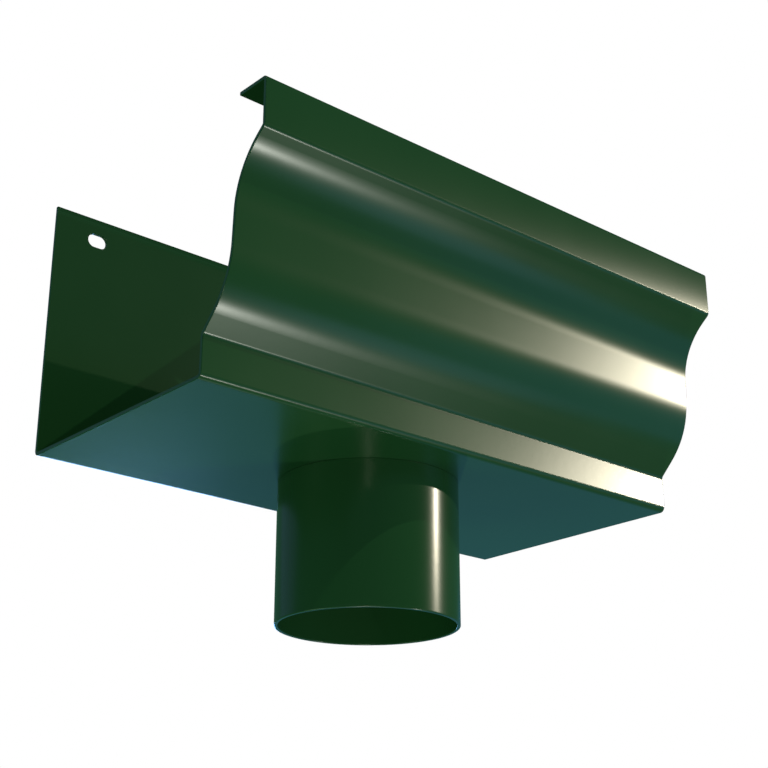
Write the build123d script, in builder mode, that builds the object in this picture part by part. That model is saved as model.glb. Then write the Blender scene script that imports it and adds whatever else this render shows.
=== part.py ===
from build123d import *
from math import radians, tan
import os

# Running outlet of an ogee gutter: a short folded trough with a round spigot welded under its sole.
# X runs along the gutter, +Y points back to the wall and +Z up.
# The origin is on the spigot's axis, level with the underside of the sole.

# Sheet
length = 250.0
sheet = 1.5
bend_radius = 0.8
lip_bend_radius = 0.2
foot_bend_radius = 2.3

# Back wall and sole
sole_depth = 115.0
back_height = 111.0

# Moulded front, as heights above the sole's underside and reaches in front of the upstand
upstand_height = 16.0
nose_base_height = 85.2
front_height = 105.5
nose_reach = 32.4
waist_reach = 16.55
lip_depth = 16.0

# The ogee's waist, which leans to the front, and the flats that its cove and its swell end in
waist_height = 52.1
waist_flat = 11.6
waist_lean = 2.5
cove_flat = 4.6
swell_flat = 8.7

# Fixing slots of the back wall
slot_length = 9.0
slot_width = 6.0
slot_from_end = 20.0
slot_from_top = 10.0

# Spigot
spigot_diameter = 76.0
spigot_wall = 1.5
spigot_length = 60.0
spigot_to_back = 57.5

# Outside and bore of the spigot, and the upright faces that the section is laid out from
spigot_radius = spigot_diameter / 2
bore_radius = spigot_radius - spigot_wall
back_face = spigot_to_back
upstand_face = back_face - sole_depth
waist_face = upstand_face - waist_reach
nose_face = upstand_face - nose_reach


def corner_of_curve(start, heading, end, flat):
    """The arc that leaves a straight run at its start, along its heading, and passes into a flat before its end.

    Returns the corner that the arc rounds, as far from the start as from the flat, and the arc's radius.
    """
    across = end - start
    run = (across.dot(across) - flat**2) / (2 * (across.dot(heading) + flat))
    corner = start + heading * run
    turn = radians(heading.get_angle(end - corner))
    return corner, run / tan(turn / 2)


waist_middle = Vector(waist_face, waist_height)
waist_rise = Vector(0, 1).rotate(Axis.Z, waist_lean)
waist_top = waist_middle + waist_rise * (waist_flat / 2)
waist_foot = waist_middle - waist_rise * (waist_flat / 2)
nose_base = Vector(nose_face, nose_base_height)
upstand_top = Vector(upstand_face, upstand_height)
cove_corner, cove_radius = corner_of_curve(waist_top, waist_rise, nose_base, cove_flat)
swell_corner, swell_radius = corner_of_curve(waist_foot, -waist_rise, upstand_top, swell_flat)

# Corners of the sheet's outer face, from the lip's edge round the sole to the top of the back wall
fold_corners = [
    (nose_face + lip_depth, front_height),
    (nose_face, front_height),
    nose_base,
    cove_corner,
    swell_corner,
    upstand_top,
    (upstand_face, 0),
    (back_face, 0),
    (back_face, back_height),
]

# The outer face turns on the outside of every bend but the foot of the ogee
outer_bend = bend_radius + sheet
fold_radii = [
    lip_bend_radius + sheet,
    outer_bend,
    cove_radius,
    swell_radius,
    foot_bend_radius,
    outer_bend,
    outer_bend,
]

with BuildPart() as trough:
    with BuildSketch(Plane.YZ.offset(-length / 2)):
        with BuildLine():
            FilletPolyline(*fold_corners, radius=fold_radii)
            offset(amount=sheet, side=Side.LEFT)
        make_face()
    extrude(amount=length)

    # Hole in the sole, as wide as the bore of the spigot that is welded on below it
    with BuildSketch():
        Circle(bore_radius)
    extrude(amount=sheet, mode=Mode.SUBTRACT)

    # A fixing slot near each end of the back wall, lying along it
    with BuildSketch(Plane.XZ.offset(-back_face)):
        with Locations((0, back_height - slot_from_top)):
            with GridLocations(length - 2 * slot_from_end, 0, 2, 1):
                SlotOverall(slot_length, slot_width)
    extrude(amount=sheet, mode=Mode.SUBTRACT)
trough.part.label = "trough"

with BuildPart() as spigot:
    with BuildSketch(Plane.XY.offset(-spigot_length)):
        Circle(spigot_radius)
        Circle(bore_radius, mode=Mode.SUBTRACT)
    extrude(amount=spigot_length)
spigot.part.label = "spigot"

os.makedirs("parts", exist_ok=True)
export_step(trough.part, "parts/trough.step")
export_step(spigot.part, "parts/spigot.step")
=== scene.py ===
"""Running outlet of an ogee gutter: a folded trough with a round spigot welded under it, powder coated dark green."""

from math import atan2, cos, pi, radians, sin, tan, tau

import bmesh
import bpy
import numpy as np
from bpy.props import FloatProperty, FloatVectorProperty, IntProperty, PointerProperty
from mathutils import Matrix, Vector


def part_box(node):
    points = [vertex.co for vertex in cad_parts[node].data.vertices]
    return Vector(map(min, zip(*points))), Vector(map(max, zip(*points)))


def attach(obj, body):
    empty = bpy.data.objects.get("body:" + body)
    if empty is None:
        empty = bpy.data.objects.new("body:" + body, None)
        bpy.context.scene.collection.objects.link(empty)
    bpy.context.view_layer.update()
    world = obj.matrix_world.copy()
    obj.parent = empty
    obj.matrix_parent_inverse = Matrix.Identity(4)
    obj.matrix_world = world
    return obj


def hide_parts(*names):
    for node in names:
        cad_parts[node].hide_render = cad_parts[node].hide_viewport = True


bl_info = {
    "name": "Gutter Outlet",
    "version": (1, 0, 0),
    "blender": (4, 5, 0),
    "location": "3D View > Sidebar > Gutter Outlet",
    "description": "Makes a running outlet of an ogee gutter, its powder coat and a plain studio",
    "category": "Add Mesh",
}

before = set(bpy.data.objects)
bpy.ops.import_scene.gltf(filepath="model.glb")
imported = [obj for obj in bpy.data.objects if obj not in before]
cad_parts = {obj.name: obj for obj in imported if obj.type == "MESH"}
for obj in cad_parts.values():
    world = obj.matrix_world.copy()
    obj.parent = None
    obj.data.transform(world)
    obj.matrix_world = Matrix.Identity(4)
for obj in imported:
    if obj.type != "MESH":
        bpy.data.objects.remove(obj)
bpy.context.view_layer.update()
TROUGH_LOW, TROUGH_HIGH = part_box("trough")
SPIGOT_LOW, SPIGOT_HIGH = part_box("spigot")


def linear(hex_colour):
    """Linear colour of an sRGB hex value: a straight foot up to 0.04045, then a power of 2.4."""
    channels = (int(hex_colour[i:i + 2], 16) / 255 for i in (0, 2, 4))
    return tuple(c / 12.92 if c <= 0.04045 else ((c + 0.055) / 1.055) ** 2.4 for c in channels)


def metres(value):
    """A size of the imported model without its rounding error."""
    return round(value, 6)


def length_of(name, description, default):
    """A length property in metres."""
    return FloatProperty(name=name, description=description, default=default, unit="LENGTH", precision=5)


def colour_of(name, description, hex_colour):
    """A colour property, from an sRGB hex value."""
    return FloatVectorProperty(
        name=name, description=description, default=linear(hex_colour), subtype="COLOR", min=0, max=1
    )


def level_of(name, description, default, **more):
    """A property that is a plain number of at least 0."""
    return FloatProperty(name=name, description=description, default=default, min=0, **more)


class OutletTroughSettings(bpy.types.PropertyGroup):
    """Sizes of the folded trough"""

    length: length_of("Length", "Length along the gutter", metres(TROUGH_HIGH.x - TROUGH_LOW.x))
    sheet: length_of("Sheet", "Thickness of the sheet", 0.0015)
    bend_radius: length_of("Bend Radius", "Inside radius of the square bends and of the crease under the nose", 0.0008)
    lip_bend_radius: length_of("Lip Bend Radius", "Inside radius of the bend at the top of the nose", 0.0002)
    foot_bend_radius: length_of("Foot Bend Radius", "Inside radius of the crease at the foot of the ogee", 0.0023)
    sole_depth: length_of("Sole Depth", "From the upstand's face to the back face", 0.115)
    back_height: length_of("Back Height", "Height of the back wall", metres(TROUGH_HIGH.z))
    upstand_height: length_of("Upstand Height", "Height of the upright strip in front of the sole", 0.016)
    nose_base: length_of("Nose Base", "Height of the crease under the nose", 0.0852)
    front_height: length_of("Front Height", "Height of the nose's top", 0.1055)
    nose_reach: length_of("Nose Reach", "How far the nose stands in front of the upstand", 0.0324)
    waist_reach: length_of("Waist Reach", "How far the ogee's waist stands in front of the upstand", 0.01655)
    lip_depth: length_of("Lip Depth", "Depth of the return lip", 0.016)
    waist_height: length_of("Waist Height", "Height of the middle of the ogee's waist", 0.0521)
    waist_flat: length_of("Waist Flat", "Length of the flat at the waist", 0.0116)
    waist_lean: FloatProperty(
        name="Waist Lean", description="Lean of the waist to the front", default=radians(2.5), unit="ROTATION"
    )
    cove_flat: length_of("Cove Flat", "Length of the flat between the cove and the nose", 0.0046)
    swell_flat: length_of("Swell Flat", "Length of the flat between the swell and the upstand", 0.0087)
    slot_length: length_of("Slot Length", "End to end length of a fixing slot", 0.009)
    slot_width: length_of("Slot Width", "Width of a fixing slot", 0.006)
    slot_from_end: length_of("Slot From End", "From the trough's end to a slot's centre", 0.02)
    slot_from_top: length_of("Slot From Top", "From the back wall's edge to a slot's centre", 0.01)
    edge_round: length_of("Edge Rounding", "Radius that the coat gives a cut edge", 0.0003)


class OutletSpigotSettings(bpy.types.PropertyGroup):
    """Sizes of the spigot"""

    diameter: length_of("Diameter", "Outside diameter, to fit the downpipe", metres(SPIGOT_HIGH.x - SPIGOT_LOW.x))
    wall: length_of("Wall", "Thickness of the tube's wall", 0.0015)
    length: length_of("Length", "Length below the sole", metres(SPIGOT_HIGH.z - SPIGOT_LOW.z))
    rim_round: length_of("Rim Rounding", "Radius that the coat gives the cut rim", 0.0004)
    steps: IntProperty(name="Steps", description="Facets round the tube", default=192, min=24, max=720)


class OutletFinishSettings(bpy.types.PropertyGroup):
    """Colour and gloss of the powder coat"""

    colour: colour_of("Coat", "Colour of the powder coat", "1D4424")
    colour_thin: colour_of("Thin Coat", "Colour where the coat lies thinner", "224A2A")
    roughness: level_of("Roughness", "Blur of the coat's gloss", 0.232, max=1, subtype="FACTOR")
    peel_size: length_of("Peel Size", "Distance between the ripples of the baked coat", 0.004)
    peel_depth: length_of("Peel Depth", "Depth of the ripples of the baked coat", 0.000004)


class OutletStudioSettings(bpy.types.PropertyGroup):
    """Floor, lights and camera"""

    floor_colour: colour_of("Floor", "Colour of the floor", "DCDEDD")
    floor_drop: length_of("Floor Drop", "How far the floor lies below the sole", 4.0)
    room_colour: colour_of("Room", "Colour of the dim room", "95FFD5")
    room_level: level_of("Room Level", "How bright the dim room is", 0.138)
    light_level: level_of("Light Level", "How bright all the lights are together", 1)
    focal_length: level_of("Focal Length", "Camera lens in millimetres", 70.18, unit="CAMERA")


class OutletSettings(bpy.types.PropertyGroup):
    """All settings of the outlet"""

    trough: PointerProperty(type=OutletTroughSettings)
    spigot: PointerProperty(type=OutletSpigotSettings)
    finish: PointerProperty(type=OutletFinishSettings)
    studio: PointerProperty(type=OutletStudioSettings)


def unit(vector):
    """The vector at a length of one."""
    return vector / np.linalg.norm(vector)


def folded_line(corners, radii, stops=None, crowned=(), skirt=0.00025):
    """A line folded at its corners, as points and the normals on its right-hand side.

    The arc at a corner is tangent to both runs: its centre lies on their bisector, radius / sin(half the angle) from
    the corner, and its points are centre + radius * (cos a, sin a) at even steps of a. A radian of it has a facet for
    each 2.4 mm of its radius, but no fewer than 5 and no more than 14, and any arc has at least 4.

    A run between two arcs is straight. It has a point a skirt's width inside each end, which keeps the arcs' shading
    off it, and a point at each stop given for it. A crowned run goes without the skirt's points. Its shading blends
    from one end to the other, and each end takes half the turn of the facet next to it, so its gloss runs on into the
    arcs.
    """
    radius_per_facet, facets_per_radian, least_facets = 0.0024, (5, 14), 4
    corners = np.asarray(corners, float)
    stops = stops or {}
    points, normals = [], []
    start = corners[0]
    for run in range(len(corners) - 1):
        along = unit(corners[run + 1] - corners[run])
        side = np.array([along[1], -along[0]])
        has_arc = run < len(radii)
        if has_arc:
            corner, radius = corners[run + 1], radii[run]
            back, ahead = -along, unit(corners[run + 2] - corner)
            half = np.arccos(np.clip(back @ ahead, -1, 1)) / 2
            centre = corner + unit(back + ahead) * radius / sin(half)
            end = corner + back * radius / tan(half)
        else:
            end = corners[-1]
        reach = np.linalg.norm(end - start)
        places = np.array([] if run in crowned else [skirt, reach - skirt])
        places = np.union1d(places, [(np.asarray(stop) - start) @ along for stop in stops.get(run, [])])
        first, last = [0.0] if run == 0 else [], [] if has_arc else [reach]
        places = np.concatenate([first, places, last])
        points.append(start + places[:, None] * along)
        normals.append(np.tile(side, (len(places), 1)))
        if has_arc:
            angle = atan2(*(end - centre)[::-1])
            turn = pi - 2 * half
            turn *= 1 if along[0] * ahead[1] - along[1] * ahead[0] > 0 else -1
            facets = round(abs(turn) * np.clip(radius / radius_per_facet, *facets_per_radian))
            a = angle + turn * np.linspace(0, 1, max(least_facets, facets) + 1)
            ring = np.stack([np.cos(a), np.sin(a)], 1)
            points.append(centre + radius * ring)
            normals.append(ring * (1 if turn > 0 else -1))
            start = points[-1][-1]
    return np.concatenate(points), np.concatenate(normals)


def side_of_opening(half_length, half_width, w):
    """Points of a round-ended opening on its long side, at w from -1 to 1 of the way between its diagonals.

    With s as the distance from the side's middle, x is s over the straight part, and past it x and y go round the end
    by the angle a = (s - straight) / radius.
    """
    straight = half_length - half_width
    s = w * (straight + half_width * pi / 4)
    a = np.maximum(np.abs(s) - straight, 0) / half_width
    x = np.clip(s, -straight, straight) + np.sign(s) * half_width * np.sin(a)
    return np.stack([x, half_width * np.cos(a)], 1)


def ring_round_opening(half_length, half_width, half_frame, steps, steps_out=4):
    """Flat ring between a round-ended opening and the rectangle around it, as a grid of (around, outwards).

    On each side w runs from -1 to 1. A point of the rectangle lies at w times the side's half length, and its partner
    on the opening at w of the way between the opening's diagonals. The grid is (1 - v) * partner + v * point.
    """
    wx, wy = np.linspace(-1, 1, steps[0] + 1), np.linspace(-1, 1, steps[1] + 1)
    top = side_of_opening(half_length, half_width, wx)
    turn = wy * pi / 4
    right = np.stack([half_length - half_width + half_width * np.cos(turn), half_width * np.sin(turn)], 1)
    frame_top = np.stack([wx * half_frame[0], np.full_like(wx, half_frame[1])], 1)
    frame_right = np.stack([np.full_like(wy, half_frame[0]), wy * half_frame[1]], 1)
    edge = np.concatenate([right, top[::-1], -right, -top[::-1]])
    rectangle = np.concatenate([frame_right, frame_top[::-1], -frame_right, -frame_top[::-1]])
    v = (np.arange(steps_out + 1) / steps_out)[None, :, None]
    return (1 - v) * edge[:, None] + v * rectangle[:, None]


def grid_faces(shape, keep=None):
    """Quads of a grid of points, as indices, without the cells that keep leaves out."""
    index = np.arange(shape[0] * shape[1]).reshape(shape[:2])
    quads = np.stack([index[:-1, :-1], index[1:, :-1], index[1:, 1:], index[:-1, 1:]], -1)
    return quads.reshape(-1, 4) if keep is None else quads[keep]


def closed_mesh(name, grids):
    """One closed mesh from grids of points that meet edge to edge, each given with the cells that it keeps."""
    same_point, no_length = 2e-6, 1e-7
    points, quads, count = [], [], 0
    for grid, keep in grids:
        quads.append(grid_faces(grid.shape, keep) + count)
        points.append(grid.reshape(-1, 3))
        count += len(points[-1])
    points, quads = np.concatenate(points), np.concatenate(quads)
    mesh = bpy.data.meshes.new(name)
    mesh.vertices.add(len(points))
    mesh.vertices.foreach_set("co", points.astype(np.float32).ravel())
    mesh.loops.add(quads.size)
    mesh.loops.foreach_set("vertex_index", quads.astype(np.int32).ravel())
    mesh.polygons.add(len(quads))
    mesh.polygons.foreach_set("loop_start", np.arange(0, quads.size, 4, dtype=np.int32))
    mesh.update(calc_edges=True)
    work = bmesh.new()
    work.from_mesh(mesh)
    bmesh.ops.remove_doubles(work, verts=work.verts, dist=same_point)
    bmesh.ops.dissolve_degenerate(work, edges=work.edges, dist=no_length)
    open_edges = sum(not edge.is_manifold for edge in work.edges)
    bmesh.ops.recalc_face_normals(work, faces=work.faces)
    work.to_mesh(mesh)
    work.free()
    if open_edges:
        raise RuntimeError(f"{name} has {open_edges} open edges")
    mesh.polygons.foreach_set("use_smooth", np.ones(len(mesh.polygons), bool))
    return mesh


def place_piece(name, mesh, material, node_name):
    """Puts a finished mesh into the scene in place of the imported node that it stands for."""
    piece = bpy.data.objects.new(name, mesh)
    bpy.context.scene.collection.objects.link(piece)
    mesh.materials.append(material)
    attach(piece, "root")
    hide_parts(node_name)
    return piece


def add_node(tree, kind, inputs=None, **settings):
    """Adds a node, sets its properties, and gives each named or numbered input a value or a link from a socket."""
    made = tree.nodes.new(kind)
    for name, value in settings.items():
        setattr(made, name, value)
    for name, value in (inputs or {}).items():
        if isinstance(value, bpy.types.NodeSocket):
            tree.links.new(value, made.inputs[name])
        else:
            made.inputs[name].default_value = value
    return made


def powder_coat(name, finish, pattern_place):
    """Glossy polyester powder coat, sprayed on aluminium and baked.

    The melted powder levels into a smooth, even film. It gives the eye a deep flat green with clear, slightly soft
    reflections, a faint long ripple in them, called orange peel, and a hardly visible drift of colour and gloss.
    """
    material = bpy.data.materials.new(name)
    material.use_nodes = True
    material.diffuse_color = (*finish.colour, 1)
    tree = material.node_tree
    tree.nodes.clear()
    place = add_node(tree, "ShaderNodeTexCoord").outputs["Object"]
    place = add_node(tree, "ShaderNodeMapping", {"Vector": place, "Location": pattern_place}).outputs["Vector"]
    # The film's thickness drifts over about 60 mm, as the spray passes, and its gloss drifts with it by a hundredth
    # over the middle of the noise, from 0.3 to 0.7.
    drift_size, gloss_drift = 0.06, 0.01
    drift = add_node(
        tree, "ShaderNodeTexNoise", {"Vector": place, "Scale": 1 / drift_size, "Detail": 2.0, "Roughness": 0.5}
    ).outputs["Fac"]
    thick, thin = (*finish.colour, 1), (*finish.colour_thin, 1)
    colour = add_node(tree, "ShaderNodeMix", {"Factor": drift, "A": thick, "B": thin}, data_type="RGBA")
    gloss = add_node(
        tree,
        "ShaderNodeMapRange",
        {
            "Value": drift,
            "From Min": 0.3,
            "From Max": 0.7,
            "To Min": finish.roughness - gloss_drift,
            "To Max": finish.roughness + gloss_drift,
        },
    )
    # Orange peel: soft cells one peel size apart, a few thousandths of a millimetre deep.
    peel = add_node(
        tree, "ShaderNodeTexNoise", {"Vector": place, "Scale": 1 / finish.peel_size, "Detail": 1.0, "Roughness": 0.4}
    )
    bump = add_node(
        tree, "ShaderNodeBump", {"Height": peel.outputs["Fac"], "Strength": 1.0, "Distance": finish.peel_depth}
    )
    coat = add_node(
        tree,
        "ShaderNodeBsdfPrincipled",
        {
            "Base Color": colour.outputs[2],
            "Roughness": gloss.outputs["Result"],
            "Normal": bump.outputs["Normal"],
            "IOR": 1.5,
        },
    )
    add_node(tree, "ShaderNodeOutputMaterial", {"Surface": coat.outputs["BSDF"]})
    return material


class OUTLET_OT_fold_trough(bpy.types.Operator):
    """Fold the trough: one sheet from the lip round the nose, the ogee, the upstand and the sole to the back wall"""

    bl_idname = "outlet.fold_trough"
    bl_label = "Fold Trough"
    bl_options = {"REGISTER", "UNDO"}

    def execute(self, context):
        settings = context.scene.gutter_outlet
        size, spigot = settings.trough, settings.spigot
        back = metres(TROUGH_HIGH.y)
        upstand = back - size.sole_depth
        nose = upstand - size.nose_reach
        nose_base, upstand_top = np.array([nose, size.nose_base]), np.array([upstand, size.upstand_height])
        waist = np.array([upstand - size.waist_reach, size.waist_height])
        rise = np.array([-sin(size.waist_lean), cos(size.waist_lean)])
        cove, cove_radius = self.curve_corner(waist + rise * size.waist_flat / 2, rise, nose_base, size.cove_flat)
        swell, swell_radius = self.curve_corner(waist - rise * size.waist_flat / 2, -rise, upstand_top, size.swell_flat)
        corners = [
            (nose + size.lip_depth, size.front_height),
            (nose, size.front_height),
            nose_base,
            cove,
            swell,
            upstand_top,
            (upstand, 0),
            (back, 0),
            (back, size.back_height),
        ]
        outside = size.bend_radius + size.sheet
        radii = [
            size.lip_bend_radius + size.sheet,
            outside,
            cove_radius,
            swell_radius,
            size.foot_bend_radius,
            outside,
            outside,
        ]
        nose_run, waist_run, sole_run, back_run = 1, 3, 6, 7

        # Rings round the hole and the slots fill rectangles that the grid of the sheet leaves out. Each frame is such a
        # rectangle's half sides, and its steps are those of the grid along them.
        hole, hole_margin = spigot.diameter / 2 - spigot.wall, 0.009
        hole_frame, hole_steps = hole + hole_margin, 36
        slot_frame, slot_steps = (0.009, 0.0058), (20, 12)
        slot_x, slot_z = size.length / 2 - size.slot_from_end, size.back_height - size.slot_from_top
        hole_lines = np.linspace(-hole_frame, hole_frame, hole_steps + 1)
        slot_lines = slot_x + np.linspace(-slot_frame[0], slot_frame[0], slot_steps[0] + 1)
        slot_rows = slot_z + np.linspace(-slot_frame[1], slot_frame[1], slot_steps[1] + 1)
        stops = {sole_run: [(y, 0) for y in hole_lines], back_run: [(back, z) for z in slot_rows]}
        line, side = folded_line(corners, radii, stops, crowned=[nose_run, waist_run])
        stations = np.concatenate([-slot_lines, hole_lines, slot_lines, [-size.length / 2, size.length / 2]])
        x = np.unique(np.round(stations, 7))

        outer = self.sheet_face(x, line)
        inner = self.sheet_face(x, line - size.sheet * side)
        keep = self.cells_outside_frames(outer, hole_frame, slot_frame, slot_x, slot_z, back)
        grids = [(outer, keep), (inner, keep)]
        # Cut edges: both ends, the lip's edge and the back wall's.
        for row in (0, -1):
            grids.append((np.stack([outer[row], inner[row]]), None))
            grids.append((np.stack([outer[:, row], inner[:, row]]), None))
        ring = ring_round_opening(hole, hole, (hole_frame, hole_frame), (hole_steps, hole_steps))
        low, high = (np.concatenate([ring, np.full((*ring.shape[:2], 1), z)], 2) for z in (0, size.sheet))
        grids += [(low, None), (high, None), (np.stack([low[:, 0], high[:, 0]]), None)]
        ring = ring_round_opening(size.slot_length / 2, size.slot_width / 2, slot_frame, slot_steps)
        for middle in (-slot_x, slot_x):
            rear, face = (
                np.stack([ring[..., 0] + middle, np.full(ring.shape[:2], y), ring[..., 1] + slot_z], 2)
                for y in (back, back - size.sheet)
            )
            grids += [(rear, None), (face, None), (np.stack([rear[:, 0], face[:, 0]]), None)]

        mesh = closed_mesh("folded_trough", grids)
        coat = powder_coat("Glossy powder coat on folded aluminium sheet", settings.finish, (0.31, 0.12, 0.07))
        piece = place_piece("folded_trough", mesh, coat, "trough")
        # The baked coat draws back round a cut edge and rounds it.
        bevel = piece.modifiers.new("Coated edges", "BEVEL")
        bevel.width = size.edge_round
        bevel.segments = 3
        bevel.limit_method = "ANGLE"
        bevel.angle_limit = radians(50)
        bevel.harden_normals = True
        return {"FINISHED"}

    @staticmethod
    def curve_corner(start, heading, end, flat):
        """The arc that leaves a straight run at its start, along its heading, and passes into a flat before its end.

        The corner that it rounds lies as far from the start as from the flat: with w from start to end, that run is
        (w . w - flat * flat) / (2 * (w . heading + flat)). The arc's radius is the run / tan(half the turn).
        """
        across = end - start
        run = (across @ across - flat**2) / (2 * (across @ heading + flat))
        corner = start + heading * run
        turn = np.arccos(heading @ unit(end - corner))
        return corner, run / tan(turn / 2)

    @staticmethod
    def sheet_face(x, line):
        """A face of the sheet: the folded line (y, z) carried straight along x."""
        across, along = np.meshgrid(x, np.arange(len(line)), indexing="ij")
        return np.stack([across, line[along, 0], line[along, 1]], 2)

    @staticmethod
    def cells_outside_frames(face, hole_frame, slot_frame, slot_x, slot_z, back):
        """Which cells of a face lie outside the rectangles that the rings round the hole and the slots fill.

        A cell of the back wall has its middle within 3 mm of the wall's rear face.
        """
        near_wall = 0.003
        middle = (face[:-1, :-1] + face[1:, 1:]) / 2
        x, y, z = np.abs(middle[..., 0]), middle[..., 1], middle[..., 2]
        in_sole = (x < hole_frame) & (np.abs(y) < hole_frame)
        in_back = (np.abs(x - slot_x) < slot_frame[0]) & (np.abs(z - slot_z) < slot_frame[1]) & (y > back - near_wall)
        return ~(in_sole | in_back)


class OUTLET_OT_add_spigot(bpy.types.Operator):
    """Add the spigot: a round tube welded under the sole, open at its cut rim"""

    bl_idname = "outlet.add_spigot"
    bl_label = "Add Spigot"
    bl_options = {"REGISTER", "UNDO"}

    def execute(self, context):
        settings = context.scene.gutter_outlet
        size = settings.spigot
        outside, bore = size.diameter / 2, size.diameter / 2 - size.wall
        wall = [(bore, 0), (bore, -size.length), (outside, -size.length), (outside, 0)]
        line, _ = folded_line(wall, [size.rim_round, size.rim_round])
        line = np.concatenate([line, line[:1]])
        mesh = closed_mesh("spigot_tube", [(self.turned(line, size.steps), None)])
        coat = powder_coat("Glossy powder coat on aluminium tube", settings.finish, (0.05, 0.23, 0.41))
        place_piece("spigot_tube", mesh, coat, "spigot")
        return {"FINISHED"}

    @staticmethod
    def turned(line, steps):
        """A section (radius, z) turned once round the Z axis: x = radius * cos a, y = radius * sin a."""
        a = np.linspace(0, tau, steps + 1)
        x, y = (line[None, :, 0] * turn[:, None] for turn in (np.cos(a), np.sin(a)))
        return np.stack([x, y, np.broadcast_to(line[:, 1], x.shape)], 2)


class OUTLET_OT_set_studio(bpy.types.Operator):
    """Set the studio: a pale floor, a white surround, lights all round, and the camera below the front left end"""

    bl_idname = "outlet.set_studio"
    bl_label = "Set Studio"
    bl_options = {"REGISTER", "UNDO"}

    def execute(self, context):
        studio = context.scene.gutter_outlet.studio
        self.add_floor(studio)
        self.set_surround(context.scene, studio)
        self.add_lights(studio)
        self.add_camera(context.scene, studio)
        context.scene.view_settings.view_transform = "Standard"
        return {"FINISHED"}

    @staticmethod
    def seen_by_eye(tree):
        """1 on a ray from the eye, straight or through glass, and 0 on a ray that lights the object or its gloss.

        The coat is neither metal nor glass, and with the white surround mirrored in it, its dark green would wash out.
        """
        path = add_node(tree, "ShaderNodeLightPath")
        rays = {0: path.outputs["Is Camera Ray"], 1: path.outputs["Is Transmission Ray"]}
        return add_node(tree, "ShaderNodeMath", rays, operation="MAXIMUM").outputs["Value"]

    def add_floor(self, studio):
        """A square floor of matt painted board, which the white surround takes over from 5 to 10 m out."""
        reach, fade_from, fade_to, glow_level = 12.0, 5, 10, 0.8
        z = -studio.floor_drop
        corners = [(-reach, -reach, z), (reach, -reach, z), (reach, reach, z), (-reach, reach, z)]
        mesh = bpy.data.meshes.new("floor")
        mesh.from_pydata(corners, [], [(0, 1, 2, 3)])
        floor = bpy.data.objects.new("floor", mesh)
        bpy.context.scene.collection.objects.link(floor)
        material = bpy.data.materials.new("Matt white board")
        material.use_nodes = True
        tree = material.node_tree
        tree.nodes.clear()
        pale_colour = (*studio.floor_colour, 1)
        board = add_node(tree, "ShaderNodeBsdfDiffuse", {"Color": pale_colour, "Roughness": 0.6})
        glow = add_node(tree, "ShaderNodeEmission", {"Color": pale_colour, "Strength": glow_level})
        pale = add_node(tree, "ShaderNodeAddShader", {0: board.outputs["BSDF"], 1: glow.outputs["Emission"]})
        paper = add_node(tree, "ShaderNodeEmission", {"Color": (1, 1, 1, 1), "Strength": 1.0})
        place = add_node(tree, "ShaderNodeTexCoord").outputs["Object"]
        distance = add_node(tree, "ShaderNodeVectorMath", {0: place}, operation="LENGTH").outputs["Value"]
        span = {"Value": distance, "From Min": fade_from, "From Max": fade_to}
        fade = add_node(tree, "ShaderNodeMapRange", span, interpolation_type="SMOOTHSTEP").outputs["Result"]
        floor_to_paper = {0: fade, 1: pale.outputs["Shader"], 2: paper.outputs["Emission"]}
        shown = add_node(tree, "ShaderNodeMixShader", floor_to_paper)
        dim = add_node(tree, "ShaderNodeEmission", {"Color": (*studio.room_colour, 1), "Strength": studio.room_level})
        dim_or_shown = {0: self.seen_by_eye(tree), 1: dim.outputs["Emission"], 2: shown.outputs["Shader"]}
        both = add_node(tree, "ShaderNodeMixShader", dim_or_shown)
        add_node(tree, "ShaderNodeOutputMaterial", {"Surface": both.outputs["Shader"]})
        mesh.materials.append(material)

    def set_surround(self, scene, studio):
        """A world that is white to the eye, and a dim room to the object."""
        world = bpy.data.worlds.new("Studio surround")
        scene.world = world
        world.use_nodes = True
        tree = world.node_tree
        tree.nodes.clear()
        room_colour = (*studio.room_colour, 1)
        room = add_node(tree, "ShaderNodeBackground", {"Color": room_colour, "Strength": studio.room_level})
        paper = add_node(tree, "ShaderNodeBackground", {"Color": (1, 1, 1, 1), "Strength": 1.0})
        room_or_paper = {0: self.seen_by_eye(tree), 1: room.outputs["Background"], 2: paper.outputs["Background"]}
        both = add_node(tree, "ShaderNodeMixShader", room_or_paper)
        add_node(tree, "ShaderNodeOutputWorld", {"Surface": both.outputs["Shader"]})

    def add_lights(self, studio):
        """Round lights, each aimed at the outlet. The columns are those of round_light."""
        lights = [
            # Five small lights, which cast the shadows and make the bright gloss
            ("key_light", 53.7, 16.7, 15.0, 0.15, 0.7, "FFF4DA"),
            ("high_light", 0, 51.9, 15.0, 0.15, 0.64, "F0FFDC"),
            ("low_right_light", 36, -44, 4.0, 0.25, 0.76, "FCFFF3"),
            ("low_left_light", -40, -29, 4.0, 0.25, 0.56, "FFFFE5"),
            ("low_rear_light", 140.7, -59.4, 4.0, 0.25, 0.6, "F7FFE7"),
            # Broad dim fills from all round, which tint the gloss
            ("left_fill", -111, -40, 2.0, 14, 0.51, "CDFFCB"),
            ("right_fill", 116, -20, 2.0, 32, 0.17, "3E79FF"),
            ("front_fill", 50, -5, 2.0, 14, 0.08, "6EC0FF"),
            ("front_low_fill", 41, -25, 2.0, 8, 0.054, "95D2FF"),
            ("rear_fill", 153, 0, 2.0, 6, 0.7, "84BEFF"),
            ("rear_high_fill", -157, 27, 2.0, 22, 0.084, "9491FF"),
        ]
        for name, azimuth, elevation, distance, breadth, level, colour in lights:
            self.round_light(name, azimuth, elevation, distance, breadth, level * studio.light_level, linear(colour))

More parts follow.
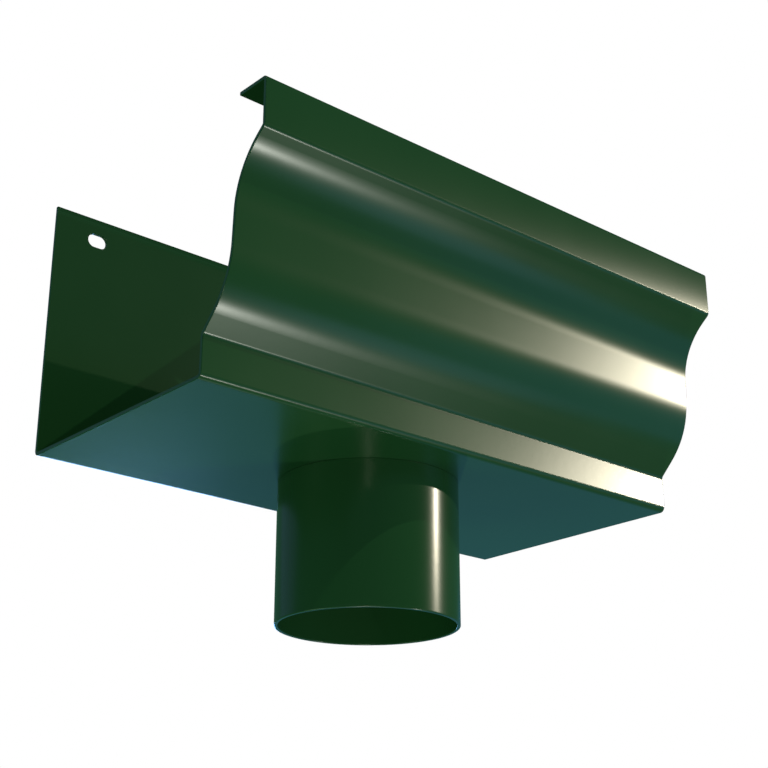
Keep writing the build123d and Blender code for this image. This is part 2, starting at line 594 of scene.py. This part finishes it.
    @staticmethod
    def round_light(name, azimuth, elevation, distance, breadth, level, colour):
        """A round light at an azimuth, from the front towards the right, and an elevation above the sole.

        Its radius is distance * tan(breadth). It is as bright all over as a patch of sky of that breadth that gives the
        level in watts per square metre: power = level / solid angle * pi**2 * radius**2.
        """
        data = bpy.data.lights.new(name, "AREA")
        data.shape = "DISK"
        radius = distance * tan(radians(breadth))
        data.size = 2 * radius
        data.energy = level / (tau * (1 - cos(radians(breadth)))) * (pi * radius) ** 2
        data.color = colour
        light = bpy.data.objects.new(name, data)
        a, e = radians(azimuth), radians(elevation)
        light.location = np.array([sin(a) * cos(e), -cos(a) * cos(e), sin(e)]) * distance
        light.rotation_euler = (pi / 2 - e, 0, a)
        light.visible_camera = False
        bpy.context.scene.collection.objects.link(light)

    @staticmethod
    def add_camera(scene, studio):
        """The camera below the front left end, looking up and to the right."""
        data = bpy.data.cameras.new("camera")
        data.sensor_fit = "HORIZONTAL"
        data.sensor_width = 36
        data.lens = studio.focal_length
        data.clip_start, data.clip_end = 0.01, 30
        # Place and direction are solved from the straight edges in the photograph.
        tilt_up, turn_right = 21.101, 41.282
        camera = bpy.data.objects.new("camera", data)
        camera.location = (-0.3931, -0.4580, -0.1869)
        camera.rotation_euler = (radians(90 + tilt_up), 0, radians(-turn_right))
        scene.collection.objects.link(camera)
        scene.camera = camera


class VIEW3D_PT_gutter_outlet(bpy.types.Panel):
    """Steps and settings of the gutter outlet"""

    bl_label = "Gutter Outlet"
    bl_idname = "VIEW3D_PT_gutter_outlet"
    bl_space_type = "VIEW_3D"
    bl_region_type = "UI"
    bl_category = "Gutter Outlet"

    def draw(self, context):
        layout = self.layout
        layout.use_property_split = True
        settings = context.scene.gutter_outlet
        for step, group in zip(STEPS, (settings.trough, settings.spigot, settings.studio)):
            layout.operator(step.bl_idname)
            for name in group.__annotations__:
                layout.prop(group, name)
        layout.label(text="Powder coat")
        for name in settings.finish.__annotations__:
            layout.prop(settings.finish, name)


STEPS = (OUTLET_OT_fold_trough, OUTLET_OT_add_spigot, OUTLET_OT_set_studio)
CLASSES = (
    OutletTroughSettings,
    OutletSpigotSettings,
    OutletFinishSettings,
    OutletStudioSettings,
    OutletSettings,
    *STEPS,
    VIEW3D_PT_gutter_outlet,
)


def register():
    for one in CLASSES:
        bpy.utils.register_class(one)
    bpy.types.Scene.gutter_outlet = PointerProperty(type=OutletSettings)


def unregister():
    del bpy.types.Scene.gutter_outlet
    for one in reversed(CLASSES):
        bpy.utils.unregister_class(one)


def main():
    """Registers the add-on and makes every piece and the studio."""
    register()
    bpy.ops.outlet.fold_trough()
    bpy.ops.outlet.add_spigot()
    bpy.ops.outlet.set_studio()


if __name__ == "__main__":
    main()
